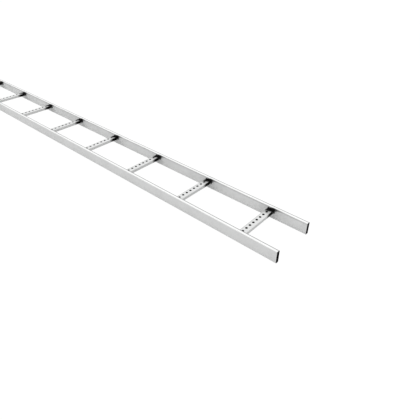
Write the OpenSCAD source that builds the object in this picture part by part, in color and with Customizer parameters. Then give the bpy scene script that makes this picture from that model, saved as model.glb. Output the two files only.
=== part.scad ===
// Cable ladder section: two closed tube side rails joined by perforated lipped-channel rungs.
// Millimetres. X runs along the ladder, Y across it, Z up; the rails stand on Z = 0.

/* [Ladder] */
// Length of the section
ladder_length = 3000; // [1200:300:6000]
// Width over the outside faces of both rails
ladder_width = 200; // [150:10:600]

/* [Side rails] */
// Height of a rail
rail_height = 48; // [42:1:100]
// Width of a rail across the ladder
rail_width = 12.5; // [10:0.5:25]
// Thickness of a rail's wall
rail_wall = 1; // [0.7:0.05:2]
// Inside radius of a rail's corners
rail_bend = 0.8; // [0.5:0.1:2.5]

/* [Rungs] */
// Distance from one rung to the next
rung_pitch = 300; // [200:10:400]
// Least distance from an end of the ladder to the nearest rung's row of holes
rung_end_distance = 150; // [60:10:200]
// Width of a rung along the ladder
rung_width = 28; // [26:1:45]
// Height of a rung's channel
rung_height = 13.5; // [10:0.5:14]
// Thickness of a rung's sheet
rung_wall = 1.25; // [1:0.05:2]
// Inside radius of a rung's bends
rung_bend = 0.6; // [0.5:0.1:1.2]
// Width of the mouth between a rung's two lips
rung_mouth = 12; // [8:0.5:18]
// Height of a rung's lips above the underside of the rails
rung_base = 27.5; // [8:0.5:28]

/* [Holes in the rungs] */
// Diameter of a hole
hole_diameter = 9; // [5:0.5:10]
// Distance from one hole's centre to the next
hole_pitch = 20; // [15:1:30]
// Least distance from a rail to the centre of the nearest hole
hole_end_distance = 7.5; // [7:0.5:40]
// How far the row of holes lies off the rung's middle, towards -X
hole_row_offset = 1.5; // [0:0.5:4]

/* [Hidden] */
// Faces of a full circle
$fn = 64;
// How far a cutter runs past what it cuts
overrun = 1;

rail_inner_face = ladder_width / 2 - rail_width;
rung_length = 2 * rail_inner_face;
rung_count = 1 + floor((ladder_length - 2 * rung_end_distance) / rung_pitch);
first_row_x = (rung_count - 1) * rung_pitch / 2;
holes_per_rung = 1 + floor((rung_length - 2 * hole_end_distance) / hole_pitch);
last_hole_y = (holes_per_rung - 1) * hole_pitch / 2;

function two_digits(n) = str(n < 10 ? "0" : "", n);
function rung_name(n) = str("rung_", two_digits(n));

// Filled rectangle with round corners, its middle at the origin
module round_rectangle(width, height, radius) {
    square([width - 2 * radius, height], center = true);
    square([width, height - 2 * radius], center = true);
    for (x = [-1, 1], y = [-1, 1])
        translate([x * (width / 2 - radius), y * (height / 2 - radius)])
            circle(r = radius);
}

// Cross-section of a closed tube of even wall, its middle at the origin
module tube_section(width, height, wall, bend) {
    difference() {
        round_rectangle(width, height, bend + wall);
        round_rectangle(width - 2 * wall, height - 2 * wall, bend);
    }
}

// Cross-section of a rung: a lipped channel with its mouth down, standing on Y = 0
module channel_section() {
    difference() {
        translate([0, rung_height / 2])
            tube_section(rung_width, rung_height, rung_wall, rung_bend);
        translate([-rung_mouth / 2, -overrun])
            square([rung_mouth, rung_wall + 2 * overrun]);
    }
}

// One hole's cutter, which goes through the rung's top sheet alone
module hole_cutter() {
    translate([0, 0, rung_height - rung_wall - overrun])
        cylinder(d = hole_diameter, h = rung_wall + 2 * overrun);
}

// One side rail, on the side of the ladder that side gives: 1 is +Y and -1 is -Y
module side_rail(side) {
    color("gainsboro")
        translate([-ladder_length / 2, side * (rail_inner_face + rail_width / 2), rail_height / 2])
            rotate([90, 0, 90])
                linear_extrude(height = ladder_length)
                    tube_section(rail_width, rail_height, rail_wall, rail_bend);
}

module side_rail_left() {
    side_rail(1);
}

module side_rail_right() {
    side_rail(-1);
}

// One rung, whose ends stand against the inner faces of both rails. Rung 1 is the one at +X,
// and the rungs are spaced by their rows of holes.
module rung(n) {
    color("whitesmoke")
        translate([first_row_x - (n - 1) * rung_pitch, 0, rung_base])
            difference() {
                translate([hole_row_offset, rail_inner_face, 0])
                    rotate([90, 0, 0])
                        linear_extrude(height = rung_length)
                            channel_section();
                for (k = [0:holes_per_rung - 1])
                    translate([0, k * hole_pitch - last_hole_y, 0])
                        hole_cutter();
            }
}

side_rail_left();
side_rail_right();
for (n = [1:rung_count])
    rung(n);
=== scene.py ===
# %% [markdown]
# # A cable ladder section
# Electricians carry cables along a ceiling or a wall on a ladder like this one.
# Two long tubes, the side rails, are joined by short channels, the rungs, and a row of holes
# in each rung takes cable ties and bolts.
#
# The solids come from a CAD model that is already right in size, so they stay as they are.
# This script gives them their finish, adds the welds, and sets up the floor, light and camera.

# %% Load the solids
import math
from types import SimpleNamespace

import bpy
from mathutils import Matrix, Vector


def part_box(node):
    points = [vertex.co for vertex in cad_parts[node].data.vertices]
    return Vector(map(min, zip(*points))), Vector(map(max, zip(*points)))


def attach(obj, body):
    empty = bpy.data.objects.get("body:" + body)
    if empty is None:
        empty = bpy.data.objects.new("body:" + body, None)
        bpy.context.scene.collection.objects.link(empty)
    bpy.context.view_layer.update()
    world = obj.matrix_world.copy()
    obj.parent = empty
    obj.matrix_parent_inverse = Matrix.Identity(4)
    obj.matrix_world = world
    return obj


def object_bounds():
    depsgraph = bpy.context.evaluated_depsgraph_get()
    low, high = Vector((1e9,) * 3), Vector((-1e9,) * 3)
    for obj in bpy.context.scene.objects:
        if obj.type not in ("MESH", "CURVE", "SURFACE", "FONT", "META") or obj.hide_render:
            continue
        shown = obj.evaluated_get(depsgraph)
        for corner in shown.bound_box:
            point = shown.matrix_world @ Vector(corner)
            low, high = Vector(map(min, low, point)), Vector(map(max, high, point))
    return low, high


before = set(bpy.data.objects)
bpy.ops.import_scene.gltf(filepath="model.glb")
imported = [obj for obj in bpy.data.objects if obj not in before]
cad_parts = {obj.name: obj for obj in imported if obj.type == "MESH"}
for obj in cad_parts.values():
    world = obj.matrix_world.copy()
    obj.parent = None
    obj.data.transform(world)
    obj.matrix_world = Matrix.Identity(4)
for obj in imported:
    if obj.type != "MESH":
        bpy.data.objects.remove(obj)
cad_low, cad_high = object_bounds()
print("nodes:", len(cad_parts))
print("size in metres:", [round(v, 4) for v in cad_high - cad_low])

# %% [markdown]
# ## Sizes
# Every place below is worked out from the boxes of the solids. The values that a box can't
# tell, such as the thickness of the sheet and the pitch of the holes, are written here once,
# in metres.

# %% Sizes from the solids
MM = 0.001

rung_names = sorted(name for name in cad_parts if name.startswith("rung_"))
rail_names = sorted(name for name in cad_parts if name.startswith("side_rail_"))

rail_low, rail_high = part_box("side_rail_left")
rung_low, rung_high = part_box(rung_names[0])
next_rung_low, next_rung_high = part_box(rung_names[1])

RAIL_INNER = rail_low.y
RAIL_MIDDLE = (rail_low.y + rail_high.y) / 2
RAIL_WIDTH = rail_high.y - rail_low.y
RAIL_HEIGHT = rail_high.z - rail_low.z
RUNG_X = (rung_low.x + rung_high.x) / 2
RUNG_WIDTH = rung_high.x - rung_low.x
RUNG_BASE = rung_low.z
RUNG_TOP = rung_high.z
RUNG_PITCH = rung_low.x - next_rung_low.x

RAIL_WALL = 1 * MM
RUNG_WALL = 1.25 * MM
RUNG_BEND = 1.85 * MM
HOLE_PITCH = 20 * MM
HOLE_RADIUS = 4.5 * MM
# From the rung's middle to its row of holes
HOLE_ROW = -1.5 * MM
print("rungs:", len(rung_names), "pitch in mm:", round(RUNG_PITCH / MM, 1))

# %% [markdown]
# ## The camera
# The camera stands beside the near end, a little over shoulder height above the floor, and
# looks down along the ladder. A wide lens this close makes the far end shrink quickly.
# A camera looks along its own -Z, so 90 degrees about X brings it level, and less than
# that tips it down.

# %% Camera
CAMERA_FROM_END = Vector((0.4144, -0.8939, 0.8676))
CAMERA_DOWN = math.radians(36.91)
CAMERA_TURN = math.radians(41.15)
CAMERA_LENS = 32.71

bpy.ops.object.select_all(action="DESELECT")
bpy.ops.object.camera_add(
    location=Vector((cad_high.x, 0, 0)) + CAMERA_FROM_END,
    rotation=(math.radians(90) - CAMERA_DOWN, 0, CAMERA_TURN),
)
camera = bpy.context.object
camera.name = "camera"
camera.data.lens = CAMERA_LENS
camera.data.sensor_width = 36
camera.data.clip_end = 100
bpy.context.scene.camera = camera

# %% [markdown]
# ## Node helpers
# A finish is a small network of nodes. A few helpers keep the networks short to read: some
# make a node and fill its sockets, and the others do arithmetic. All of them take plain
# numbers or the output of another node.


# %% Node helpers
def put(tree, socket, value):
    """Gives a socket a number, a colour, or the output of another node."""
    if isinstance(value, bpy.types.NodeSocket):
        tree.links.new(value, socket)
    else:
        socket.default_value = value


def add_node(tree, kind, inputs=None, **settings):
    """A new node of that kind, with its settings and its sockets filled in."""
    node = tree.nodes.new(kind)
    for name, value in settings.items():
        setattr(node, name, value)
    for name, value in (inputs or {}).items():
        put(tree, node.inputs[name], value)
    return node


def calc(tree, operation, a, b=0.0, c=0.0):
    """One step of arithmetic on numbers or sockets."""
    node = tree.nodes.new("ShaderNodeMath")
    node.operation = operation
    for socket, value in zip(node.inputs, (a, b, c)):
        put(tree, socket, value)
    return node.outputs[0]


def chain(tree, operation, values):
    """The same step of arithmetic over several values, one after the other."""
    result = values[0]
    for value in values[1:]:
        result = calc(tree, operation, result, value)
    return result


def plus(tree, *values):
    """The sum of several values."""
    return chain(tree, "ADD", values)


def minus(tree, a, b):
    """What is left of a when b is taken away."""
    return calc(tree, "SUBTRACT", a, b)


def times(tree, *values):
    """The product of several values."""
    return chain(tree, "MULTIPLY", values)


def least(tree, *values):
    """The smallest of several values."""
    return chain(tree, "MINIMUM", values)


def most(tree, *values):
    """The largest of several values."""
    return chain(tree, "MAXIMUM", values)


def size_of(tree, value):
    """The value without its sign."""
    return calc(tree, "ABSOLUTE", value)


# %% Fades, colours and noise
def fade(tree, value, start, end, at_start=1.0, at_end=0.0):
    """A smooth change from at_start to at_end while value goes from start to end."""
    node = add_node(
        tree,
        "ShaderNodeMapRange",
        {"Value": value, "To Min": at_start, "To Max": at_end},
        interpolation_type="SMOOTHSTEP",
    )
    put(tree, node.inputs["From Min"], start)
    put(tree, node.inputs["From Max"], end)
    return node.outputs["Result"]


def blend_colours(tree, amount, first, second):
    """first where amount is 0, second where it is 1."""
    node = tree.nodes.new("ShaderNodeMix")
    node.data_type = "RGBA"
    put(tree, node.inputs[0], amount)
    put(tree, node.inputs[6], first)
    put(tree, node.inputs[7], second)
    return node.outputs[2]


def new_material(name):
    """An empty material: its node tree, and its Principled shader, wired to the output."""
    material = bpy.data.materials.new(name)
    material.use_nodes = True
    tree = material.node_tree
    tree.nodes.clear()
    output = tree.nodes.new("ShaderNodeOutputMaterial")
    shader = tree.nodes.new("ShaderNodeBsdfPrincipled")
    tree.links.new(shader.outputs[0], output.inputs["Surface"])
    return material, tree, shader


def noise(tree, position, feature_size, detail=3.0, roughness=0.5):
    """Noise whose blobs are about feature_size across, in metres."""
    node = add_node(
        tree,
        "ShaderNodeTexNoise",
        {"Vector": position, "Scale": 1 / feature_size, "Detail": detail, "Roughness": roughness},
    )
    return node.outputs["Fac"]


# %% [markdown]
# ## Where a point lies
# All the solids share one frame, so the Object coordinates of a material say where a point
# lies on the ladder. The rungs repeat, and Wrap folds the long X axis into a distance from
# the nearest rung's middle. One material can then serve all ten rungs. Distances are turned
# into millimetres, because small round numbers are easier to work with.


# %% Place on the ladder
def place_on_ladder(tree):
    """The position in metres, the distances x, y and z in mm, and how far along the end is.

    x is taken from the middle of the nearest rung, and along from the middle of the ladder.
    """
    position = tree.nodes.new("ShaderNodeTexCoord").outputs["Object"]
    along, across, up = add_node(tree, "ShaderNodeSeparateXYZ", {"Vector": position}).outputs
    from_rung = calc(tree, "WRAP", minus(tree, along, RUNG_X), RUNG_PITCH / 2, -RUNG_PITCH / 2)
    return SimpleNamespace(
        position=position,
        along=calc(tree, "DIVIDE", along, MM),
        x=calc(tree, "DIVIDE", from_rung, MM),
        y=calc(tree, "DIVIDE", across, MM),
        z=calc(tree, "DIVIDE", up, MM),
    )


# %% [markdown]
# ## Painted shade and burnt paint at the welds
# The rungs are welded to rails that were already painted. At the left rail the deep shade round
# each joint is painted black: it covers the end of the rung's top, runs further down its side
# walls, and spreads over the rail above the rung, with a streak along it. At the right rail the
# heat of the weld blackened the paint close round the weld. Each mark is a distance that is
# turned into a soft edge, and noise added to the distance makes that edge ragged.

# %% Places on a rung and a rail, in mm
HALF_RUNG = RUNG_WIDTH / 2 / MM
TOP = RUNG_TOP / MM
BASE = RUNG_BASE / MM
INNER = RAIL_INNER / MM
RAIL_TOP = RAIL_HEIGHT / MM
RAGGED_SIZE = 4


def ragged(tree, at, amount):
    """A length in mm, up to amount either way, that changes over a few millimetres."""
    spread = minus(tree, noise(tree, at.position, RAGGED_SIZE * MM), 0.5)
    return times(tree, spread, 2 * amount)


# %% [markdown]
# The painted shade on a rung is measured from the left rail. It is black as far as one distance
# and gone from another on, and both distances are longer on the side walls than on the top, and
# on the top's -X half than on its +X half. The bend between top and wall leads from one to the
# other. At the right rail a narrow mark of burnt paint is added.

# %% Painted shade at a rung's left end, and burnt paint at its right end, in mm
RUNG_RAGGED = 4
# Distances from the left rail: on the top for its -X half and its +X half, and on the walls
TOP_BLACK = (17, 12)
TOP_UNSHADED = (34, 28)
WALL_BLACK = 33
WALL_UNSHADED = 53
# Where one half of the top changes to the other, and where the top changes to a wall
HALVES_FROM = -2
HALVES_TO = 9
WALL_FROM_DEPTH = 0.3
WALL_TO_DEPTH = 3.5
# Near the +X bend the top already counts as this much deeper
BEND_START = HALF_RUNG - 3.4
BEND_END = HALF_RUNG - 0.6
BEND_DEPTH = 3
# The top's -X edge and the foot of a wall beside the rail are less black
BACK_EDGE_WIDTH = 4
BACK_EDGE_BLACK = 0.7
FOOT_FROM_DEPTH = 5
FOOT_TO_DEPTH = 9
FOOT_NEAR = 8
FOOT_FAR = 16
FOOT_LIGHTER = 0.1
# Fainter painted shade beyond the black
SHADE_FRINGE_FROM = 24
SHADE_FRINGE_TO = 50
SHADE_FRINGE_BLACK = 0.42
# Distances from the right rail, for the burnt paint
RIGHT_BLACK = 1.5
RIGHT_CLEAN = 5.5
RIGHT_RAGGED = 0.2


def shade_and_scorch_on_rung(tree, at):
    """1 where the rung is painted black, as shade at the left rail and as burnt paint at the right
    weld, 0 elsewhere.
    """
    rough = ragged(tree, at, RUNG_RAGGED)
    depth = minus(tree, TOP, at.z)
    from_left = plus(tree, minus(tree, INNER, at.y), rough)
    from_right = plus(tree, INNER, at.y, times(tree, rough, RIGHT_RAGGED))

    down = plus(tree, depth, fade(tree, at.x, BEND_START, BEND_END, 0, BEND_DEPTH))
    top_black = fade(tree, at.x, HALVES_FROM, HALVES_TO, *TOP_BLACK)
    top_unshaded = fade(tree, at.x, HALVES_FROM, HALVES_TO, *TOP_UNSHADED)
    black_to = fade(tree, down, WALL_FROM_DEPTH, WALL_TO_DEPTH, top_black, WALL_BLACK)
    unshaded_from = fade(tree, down, WALL_FROM_DEPTH, WALL_TO_DEPTH, top_unshaded, WALL_UNSHADED)
    shade_core = fade(tree, from_left, black_to, unshaded_from)

    back_edge = fade(tree, at.x, -HALF_RUNG, -HALF_RUNG + BACK_EDGE_WIDTH, BACK_EDGE_BLACK, 1)
    foot = fade(tree, depth, FOOT_FROM_DEPTH, FOOT_TO_DEPTH, 0, FOOT_LIGHTER)
    foot = times(tree, foot, fade(tree, from_left, FOOT_NEAR, FOOT_FAR))
    shade_core = minus(tree, times(tree, shade_core, back_edge), foot)

    shade_fringe = times(tree, fade(tree, from_left, SHADE_FRINGE_FROM, SHADE_FRINGE_TO), SHADE_FRINGE_BLACK)
    right = fade(tree, from_right, plus(tree, RIGHT_BLACK, depth), plus(tree, RIGHT_CLEAN, depth))
    return most(tree, shade_core, shade_fringe, right)


# %% [markdown]
# On the left rail the painted shade rises from the rung and leans towards -X. To +X it reaches
# further the higher it is, which makes a streak below the rail's top edge. On the right rail
# there is only a narrow border of burnt paint round the weld.

# %% Painted shade on the left rail, and burnt paint round the right rail's welds, in mm
RAIL_RAGGED = 2.5
# The streak to +X: its length low down, what it gains over each such lift, and its soft edge
LIFT_HEIGHT = 14
STREAK_SHORT = 2
STREAK_GROWTH = 12.5
STREAK_BLACK = -0.1
STREAK_UNSHADED = 1.9
# The side towards -X: what it moves for each mm of height, and its soft edge
LEAN = 2.6
LEAN_BLACK = -8
LEAN_UNSHADED = 2
TOP_EDGE_FROM = 44
TOP_EDGE_BLACK = 0.62
UNDER_UNSHADED = 5
# The border round the right rail's welds
BORDER_BLACK = 1.5
BORDER_CLEAN = 4.5
BORDER_RAGGED = 0.6
INNER_FACE_BLACK = INNER + 0.6
INNER_FACE_CLEAN = INNER + 1.8


def shade_and_scorch_on_rail(tree, at):
    """1 where a rail's inner face is painted black, as shade on the left rail and as burnt paint round
    the right rail's welds, 0 elsewhere.
    """
    rough = ragged(tree, at, RAIL_RAGGED)
    above = minus(tree, at.z, TOP)
    below = minus(tree, BASE, at.z)

    lift = most(tree, calc(tree, "DIVIDE", minus(tree, at.z, BASE), LIFT_HEIGHT), 0)
    reach = plus(tree, times(tree, lift, lift, STREAK_GROWTH), STREAK_SHORT)
    to_plus_x = plus(tree, minus(tree, at.x, HALF_RUNG), rough)
    black_to = times(tree, reach, STREAK_BLACK)
    unshaded_from = times(tree, reach, STREAK_UNSHADED)
    streak = fade(tree, to_plus_x, black_to, unshaded_from)

    slant = times(tree, most(tree, above, 0), LEAN)
    to_minus_x = plus(tree, minus(tree, -HALF_RUNG, at.x), slant, rough)
    leaning = fade(tree, to_minus_x, LEAN_BLACK, LEAN_UNSHADED)
    leaning = times(tree, leaning, fade(tree, at.z, TOP_EDGE_FROM, RAIL_TOP, 1, TOP_EDGE_BLACK))
    left_rail_shade = least(tree, times(tree, streak, leaning), fade(tree, below, 0, UNDER_UNSHADED))
    left_rail_shade = times(tree, left_rail_shade, calc(tree, "GREATER_THAN", at.y, 0))

    outside = most(tree, minus(tree, size_of(tree, at.x), HALF_RUNG), above, below)
    outside = plus(tree, outside, times(tree, rough, BORDER_RAGGED))
    border = fade(tree, outside, BORDER_BLACK, BORDER_CLEAN)
    border = times(tree, border, calc(tree, "LESS_THAN", at.y, 0))

    inner_face = fade(tree, size_of(tree, at.y), INNER_FACE_BLACK, INNER_FACE_CLEAN)
    return times(tree, most(tree, left_rail_shade, border), inner_face)


# %% [markdown]
# ## Bare steel and painted shade inside
# Powder doesn't reach far inside a tube, and the rails were sawn to length after painting,
# so the hollows and the cut ends are bare steel. They are painted near black for the deep shade
# inside the tubes, the rungs and the holes, and the black also covers a margin of the paint just
# beside each cut and a hair's width round each hole. A point is inside when it lies deeper than
# the outer skin, both across the section and in height.

# %% Hollows, cut ends and rims of holes
SKIN = 0.3
CUT_END_MARGIN = 1.4
HOLE_RIM = 0.25
END = cad_high.x / MM


def bare_and_shaded_on_rail(tree, at):
    """1 on the inner faces of a rail and at its cut ends, 0 on its outside."""
    across = size_of(tree, minus(tree, size_of(tree, at.y), RAIL_MIDDLE / MM))
    half = (RAIL_WIDTH / 2 - RAIL_WALL) / MM + SKIN
    low = RAIL_WALL / MM - SKIN
    high = (RAIL_HEIGHT - RAIL_WALL) / MM + SKIN
    inside = least(
        tree,
        calc(tree, "LESS_THAN", across, half),
        calc(tree, "GREATER_THAN", at.z, low),
        calc(tree, "LESS_THAN", at.z, high),
    )
    cut_end = calc(tree, "GREATER_THAN", size_of(tree, at.along), END - CUT_END_MARGIN)
    return most(tree, inside, cut_end)


def bare_and_shaded_on_rung(tree, at):
    """1 on the inner faces of a rung and round its holes, 0 on its outside."""
    half = (RUNG_WIDTH / 2 - RUNG_WALL) / MM + SKIN
    low = (RUNG_BASE + RUNG_WALL) / MM - SKIN
    inside = least(
        tree,
        calc(tree, "LESS_THAN", size_of(tree, at.x), half),
        calc(tree, "GREATER_THAN", at.z, low),
        calc(tree, "LESS_THAN", at.z, TOP - SKIN),
    )
    half_pitch = HOLE_PITCH / 2 / MM
    from_hole_y = calc(tree, "WRAP", at.y, half_pitch, -half_pitch)
    from_hole_x = minus(tree, at.x, HOLE_ROW / MM)
    squares = plus(tree, times(tree, from_hole_x, from_hole_x), times(tree, from_hole_y, from_hole_y))
    from_hole = calc(tree, "SQRT", squares)
    rim = calc(tree, "LESS_THAN", from_hole, HOLE_RADIUS / MM + HOLE_RIM)
    on_top = calc(tree, "GREATER_THAN", at.z, TOP - RUNG_WALL / MM)
    return most(tree, inside, times(tree, rim, on_top))


# %% [markdown]
# ## Painted shade along edges
# A rail is a strip that is rolled into a tube and welded shut. On both rails a grey line is
# painted along the top, at the edge towards the left, for the shade where the rounded edge turns
# away from the light. On the inner faces, a faint grey band of painted shade lies below the top
# edge. On a rung the side walls and one top edge are painted a little greyer, as shade.

# %% Grey lines, in mm
# The painted shade along the back top edge, measured in from a rail's +Y side
RAIL_EDGE_SHADE = 0.72
RAIL_EDGE_SHADE_WIDTH = 3.4
RAIL_EDGE_SHADE_BLUR = 1.6
RAIL_EDGE_SHADE_FROM_Z = 44
RAIL_EDGE_SHADE_TO_Z = 45.5
# The band of painted shade below the top edge of a rail's inner face
SHADE_BAND_TONE = 0.24
BAND_FOOT = (40, 43.5)
BAND_HEAD = (46, 47.4)
BAND_FACE_GREY = INNER + 1.2
BAND_FACE_CLEAN = INNER + 2.4
# Painted shade on a rung
EDGE_SHADE = 0.2
EDGE_GREY = -HALF_RUNG + 3
EDGE_CLEAN = -HALF_RUNG + 6.5
WALL_SHADE = 0.05
WALL_DEPTH = (1, 4)


def painted_shade_on_rail(tree, at):
    """How much painted shade greys a rail, from 0 to 1."""
    middle = RAIL_MIDDLE / MM
    is_left = calc(tree, "GREATER_THAN", at.y, 0)
    rail_middle = plus(tree, times(tree, is_left, 2 * middle), -middle)
    past_middle = minus(tree, at.y, rail_middle)
    edge = RAIL_WIDTH / 2 / MM
    rail_edge_shade = fade(tree, past_middle, edge - RAIL_EDGE_SHADE_WIDTH - RAIL_EDGE_SHADE_BLUR, edge - RAIL_EDGE_SHADE_WIDTH, 0, RAIL_EDGE_SHADE)
    rail_edge_shade = times(tree, rail_edge_shade, fade(tree, at.z, RAIL_EDGE_SHADE_FROM_Z, RAIL_EDGE_SHADE_TO_Z, 0, 1))

    on_inner = fade(tree, size_of(tree, at.y), BAND_FACE_GREY, BAND_FACE_CLEAN)
    shade_band = times(tree, fade(tree, at.z, *BAND_FOOT, 0, 1), fade(tree, at.z, *BAND_HEAD))
    return most(tree, rail_edge_shade, times(tree, shade_band, on_inner, SHADE_BAND_TONE))


def painted_shade_on_rung(tree, at):
    """How much painted shade greys a rung, from 0 to 1."""
    edge = fade(tree, at.x, EDGE_GREY, EDGE_CLEAN, EDGE_SHADE, 0)
    wall = fade(tree, minus(tree, TOP, at.z), *WALL_DEPTH, 0, WALL_SHADE)
    return most(tree, edge, wall)


# %% [markdown]
# ## White paint
# The steel has a baked powder paint: white, nearly dull, and very slightly rippled, like the
# skin of an orange, because the powder melts and sets before it can flow flat. Broad, faint
# changes of tone keep three metres of tube from looking like plastic. The rungs are a shade
# greyer than the rails.

# %% Paint
RAIL_WHITE = (0.88, 0.885, 0.882, 1)
RUNG_WHITE = (0.71, 0.715, 0.712, 1)
# Grey for the shade painted along edges and below the rails' top edges
SHADE_GREY = (0.12, 0.12, 0.12, 1)
# Near black: bare steel with the deep shade of the hollows painted in
BARE_STEEL_AND_SHADE = (0.005, 0.005, 0.0052, 1)
# Black for the shade painted at the left rail's joints and for the burnt paint at the right rail's
# welds
SHADE_AND_SCORCH_BLACK = (0.0025, 0.0024, 0.0023, 1)
PAINT_SPECULAR = 0.06
THIN = 0.955
TONE_SIZE = 90 * MM
TONE_RANGE = (0.4, 0.62)
GLOSS_SIZE = 25 * MM
GLOSS_RANGE = (0.35, 0.65)
GLOSS_ROUGHNESS = (0.42, 0.5)
DULL_ROUGHNESS = 0.4
PEEL_SIZE = 1.6 * MM
PEEL_HEIGHT = 0.05 * MM
PEEL_STRENGTH = 0.25


def bumps(tree, position, feature_size, height, strength, detail=3.0):
    """A normal that is ruffled by noise."""
    inputs = {
        "Height": noise(tree, position, feature_size, detail),
        "Strength": strength,
        "Distance": height,
    }
    return add_node(tree, "ShaderNodeBump", inputs).outputs[0]


def painted_steel(name, white, shade_and_scorch, bare_and_shade, painted_shade):
    """White paint changed by three masks, each from 0 to 1: the first paints shade black at the left
    rail and burnt paint at the right welds, the second bare steel painted near black for the shade of
    the hollows, and the third grey painted shade along edges.
    """
    material, tree, shader = new_material(name)
    at = place_on_ladder(tree)
    burnt_and_shaded = shade_and_scorch(tree, at)
    hollow_and_shade = bare_and_shade(tree, at)

    thin_white = tuple(value * THIN for value in white[:3]) + (1,)
    tone = noise(tree, at.position, TONE_SIZE, detail=4)
    colour = blend_colours(tree, fade(tree, tone, *TONE_RANGE, 0, 1), white, thin_white)
    colour = blend_colours(tree, painted_shade(tree, at), colour, SHADE_GREY)
    colour = blend_colours(tree, burnt_and_shaded, colour, SHADE_AND_SCORCH_BLACK)
    colour = blend_colours(tree, hollow_and_shade, colour, BARE_STEEL_AND_SHADE)
    put(tree, shader.inputs["Base Color"], colour)
    put(tree, shader.inputs["Specular IOR Level"], PAINT_SPECULAR)

    patches = noise(tree, at.position, GLOSS_SIZE)
    gloss = fade(tree, patches, *GLOSS_RANGE, *GLOSS_ROUGHNESS)
    dull = times(tree, most(tree, burnt_and_shaded, hollow_and_shade), DULL_ROUGHNESS)
    put(tree, shader.inputs["Roughness"], plus(tree, gloss, dull))
    peel = bumps(tree, at.position, PEEL_SIZE, PEEL_HEIGHT, PEEL_STRENGTH, detail=2)
    put(tree, shader.inputs["Normal"], peel)
    return material


# %% Give the solids their finish
rail_finish = painted_steel("rail_white_paint", RAIL_WHITE, shade_and_scorch_on_rail, bare_and_shaded_on_rail, painted_shade_on_rail)
rung_finish = painted_steel("rung_white_paint", RUNG_WHITE, shade_and_scorch_on_rung, bare_and_shaded_on_rung, painted_shade_on_rung)
for name in rail_names:
    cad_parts[name].material_slots[0].material = rail_finish
for name in rung_names:
    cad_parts[name].material_slots[0].material = rung_finish

# %% [markdown]
# ## The welds
# A welder joins each rung to a rail with a bead that climbs one side wall, crosses the top and
# comes down the other side. Every drop of metal freezes before the next one lands, which
# leaves ripples like a row of fallen coins. A plain tube would look like rubber cord, so the
# bead is made from the ripples themselves: one flat, leaning ball for each drop, all joined
# and melted together by a voxel remesh. It is modelled once and copied to all twenty joints.

# %% The bead's path
BEAD_STEP = 1.5 * MM
BEAD_RADIUS = 1.9 * MM
BEAD_THICKNESS = 1.25 * MM
BEAD_SINK = 0.5 * MM
BEAD_LEAN = math.radians(25)
SWELL = 0.12
SWELL_RHYTHM = 2.1
VOXEL = 0.42 * MM


def bead_path():
    """Points up, over and down the rung's outline, each with the direction of travel."""
    half = RUNG_WIDTH / 2
    flat = 2 * (half - RUNG_BEND)
    bend = math.pi / 2 * RUNG_BEND
    side = RUNG_TOP - RUNG_BASE - 2 * RUNG_BEND
    length = 2 * side + 2 * bend + flat
    count = round(length / BEAD_STEP)
    for i in range(count + 1):
        s = length * i / count
        if s < side:
            yield half, RUNG_BASE + RUNG_BEND + s, math.pi / 2
        elif s < side + bend:
            turn = (s - side) / RUNG_BEND
            x = half - RUNG_BEND + RUNG_BEND * math.cos(turn)
            yield x, RUNG_TOP - RUNG_BEND + RUNG_BEND * math.sin(turn), math.pi / 2 + turn
        elif s < side + bend + flat:
            yield half - RUNG_BEND - (s - side - bend), RUNG_TOP, math.pi
        elif s < side + 2 * bend + flat:
            turn = (s - side - bend - flat) / RUNG_BEND
            x = -half + RUNG_BEND - RUNG_BEND * math.sin(turn)
            yield x, RUNG_TOP - RUNG_BEND + RUNG_BEND * math.cos(turn), math.pi + turn
        else:
            yield -half, RUNG_TOP - RUNG_BEND - (s - side - 2 * bend - flat), 1.5 * math.pi


print("drops in one bead:", len(list(bead_path())))

# %% Model one bead at the left end of rung 1
drops = []
for i, (x, z, heading) in enumerate(bead_path()):
    bpy.ops.object.select_all(action="DESELECT")
    bpy.ops.mesh.primitive_ico_sphere_add(
        subdivisions=2,
        radius=1,
        location=(RUNG_X + x, RAIL_INNER - BEAD_SINK, z),
        rotation=(0, -heading + BEAD_LEAN, 0),
    )
    drop = bpy.context.object
    swell = 1 + SWELL * math.sin(SWELL_RHYTHM * i)
    drop.scale = (BEAD_THICKNESS, BEAD_RADIUS * swell, BEAD_RADIUS * swell)
    drops.append(drop)
for drop in drops:
    drop.select_set(True)
bpy.context.view_layer.objects.active = drops[0]
bpy.ops.object.join()
bead = bpy.context.object
bead.name = "weld_left_01"
bpy.ops.object.transform_apply(location=True, rotation=True, scale=True)
melt = bead.modifiers.new("melt", "REMESH")
melt.mode = "VOXEL"
melt.voxel_size = VOXEL
bpy.ops.object.modifier_apply(modifier="melt")
soften = bead.modifiers.new("soften", "SMOOTH")
soften.factor = 0.5
soften.iterations = 2
bpy.ops.object.modifier_apply(modifier="soften")
bpy.ops.object.shade_smooth()
print("faces in one bead:", len(bead.data.polygons))

# %% [markdown]
# ## The welds' finish
# Nobody cleaned or painted the welds, so they are covered in black scale, a little glossier
# than the blackened paint around them.

# %% Finish of the welds
SCALE_BLACK = (0.005, 0.005, 0.005, 1)
SCALE_GREY = (0.014, 0.0135, 0.013, 1)
SCALE_SPECULAR = 0.15
SCALE_ROUGHNESS = (0.5, 0.7)
PATCH_SIZE = 2 * MM
PATCH_RANGE = (0.45, 0.7)
GRAIN_SIZE = 0.5 * MM
GRAIN_HEIGHT = 0.1 * MM
GRAIN_STRENGTH = 0.3

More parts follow.
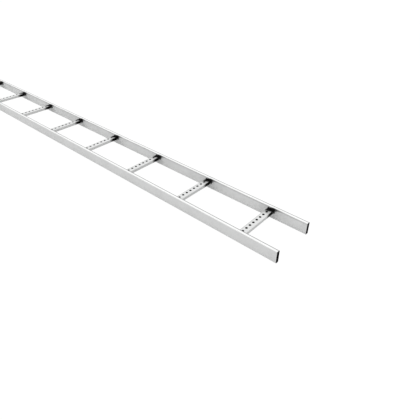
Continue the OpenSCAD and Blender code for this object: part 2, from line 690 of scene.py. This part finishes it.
weld_finish, tree, shader = new_material("weld_scale")
position = tree.nodes.new("ShaderNodeTexCoord").outputs["Object"]
patches = fade(tree, noise(tree, position, PATCH_SIZE), *PATCH_RANGE, 0, 1)
put(tree, shader.inputs["Base Color"], blend_colours(tree, patches, SCALE_BLACK, SCALE_GREY))
put(tree, shader.inputs["Specular IOR Level"], SCALE_SPECULAR)
put(tree, shader.inputs["Roughness"], fade(tree, patches, 0, 1, *SCALE_ROUGHNESS))
grain = bumps(tree, position, GRAIN_SIZE, GRAIN_HEIGHT, GRAIN_STRENGTH)
put(tree, shader.inputs["Normal"], grain)
bead.data.materials.clear()
bead.data.materials.append(weld_finish)

# %% Copy the bead to every joint
welds = [bead]
for side, turn in (("left", 0), ("right", math.pi)):
    for i in range(len(rung_names)):
        if side == "left" and i == 0:
            continue
        bpy.ops.object.select_all(action="DESELECT")
        copy = bead.copy()
        copy.data = bead.data.copy()
        copy.name = f"weld_{side}_{i + 1:02d}"
        bpy.context.collection.objects.link(copy)
        copy.select_set(True)
        bpy.context.view_layer.objects.active = copy
        to_middle = Matrix.Translation((-RUNG_X, 0, 0))
        to_rung = Matrix.Translation((RUNG_X - i * RUNG_PITCH, 0, 0))
        copy.matrix_world = to_rung @ Matrix.Rotation(turn, 4, "Z") @ to_middle
        bpy.ops.object.transform_apply(location=True, rotation=True, scale=True)
        welds.append(copy)
for weld in welds:
    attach(weld, "root")
print("welds:", len(welds))

# %% [markdown]
# ## Floor, world and light
# The floor is large and pale. To the camera it shows as white, because its shader adds an
# even glow where the ray comes straight from the camera, and the part that isn't glow still
# takes the ladder's soft shadow. The world does the same, so no horizon shows. The lamp
# hangs overhead and is very broad, so the tops of the rails are the brightest part and no
# shadow has a hard edge.

# %% What the camera sees
def seen_directly(tree):
    """1 for a ray from the camera, or one that a mirror or glass sends on, 0 for the rest."""
    rays = tree.nodes.new("ShaderNodeLightPath").outputs
    return most(tree, rays["Is Camera Ray"], rays["Is Glossy Ray"], rays["Is Transmission Ray"])


# %% Floor
FLOOR_SIZE = 60
FLOOR_DROP = 0.2 * MM
FLOOR_ALBEDO = 0.62
FLOOR_GLOW = 0.92
GLOW_STRENGTH = 1.06

bpy.ops.object.select_all(action="DESELECT")
bpy.ops.mesh.primitive_plane_add(size=FLOOR_SIZE, location=(0, 0, cad_low.z - FLOOR_DROP))
floor = bpy.context.object
floor.name = "floor"

floor_material, tree, shader = new_material("floor_white")
put(tree, shader.inputs["Base Color"], (FLOOR_ALBEDO, FLOOR_ALBEDO, FLOOR_ALBEDO, 1))
put(tree, shader.inputs["Roughness"], 1.0)
put(tree, shader.inputs["Specular IOR Level"], 0.0)
seen = seen_directly(tree)
shown = add_node(tree, "ShaderNodeEmission", {"Color": (1, 1, 1, 1), "Strength": GLOW_STRENGTH})
mixed = add_node(tree, "ShaderNodeMixShader", {0: times(tree, seen, FLOOR_GLOW)})
tree.links.new(shader.outputs[0], mixed.inputs[1])
tree.links.new(shown.outputs[0], mixed.inputs[2])
output = next(node for node in tree.nodes if node.type == "OUTPUT_MATERIAL")
tree.links.new(mixed.outputs[0], output.inputs["Surface"])
floor.data.materials.append(floor_material)

# %% World
SKY_STRENGTH = 0.70

world = bpy.data.worlds.new("studio")
bpy.context.scene.world = world
world.use_nodes = True
tree = world.node_tree
tree.nodes.clear()
seen = seen_directly(tree)
strength = calc(tree, "MULTIPLY_ADD", seen, 1 - SKY_STRENGTH, SKY_STRENGTH)
sky = add_node(tree, "ShaderNodeBackground", {"Color": (1, 1, 1, 1), "Strength": strength})
output = tree.nodes.new("ShaderNodeOutputWorld")
tree.links.new(sky.outputs[0], output.inputs["Surface"])

# %% Lamp
LAMP_TILT = math.radians(12)
LAMP_STRENGTH = 1.45
LAMP_SPREAD = math.radians(50)

bpy.ops.object.light_add(type="SUN", location=(0, -2, 6), rotation=(-LAMP_TILT, 0, 0))
lamp = bpy.context.object
lamp.name = "soft_overhead_lamp"
lamp.data.energy = LAMP_STRENGTH
lamp.data.angle = LAMP_SPREAD

scene = bpy.context.scene
scene.view_settings.view_transform = "Standard"

# %% Print the CAD box
print("CAD box:", [round(v, 4) for v in (*cad_low, *cad_high)])
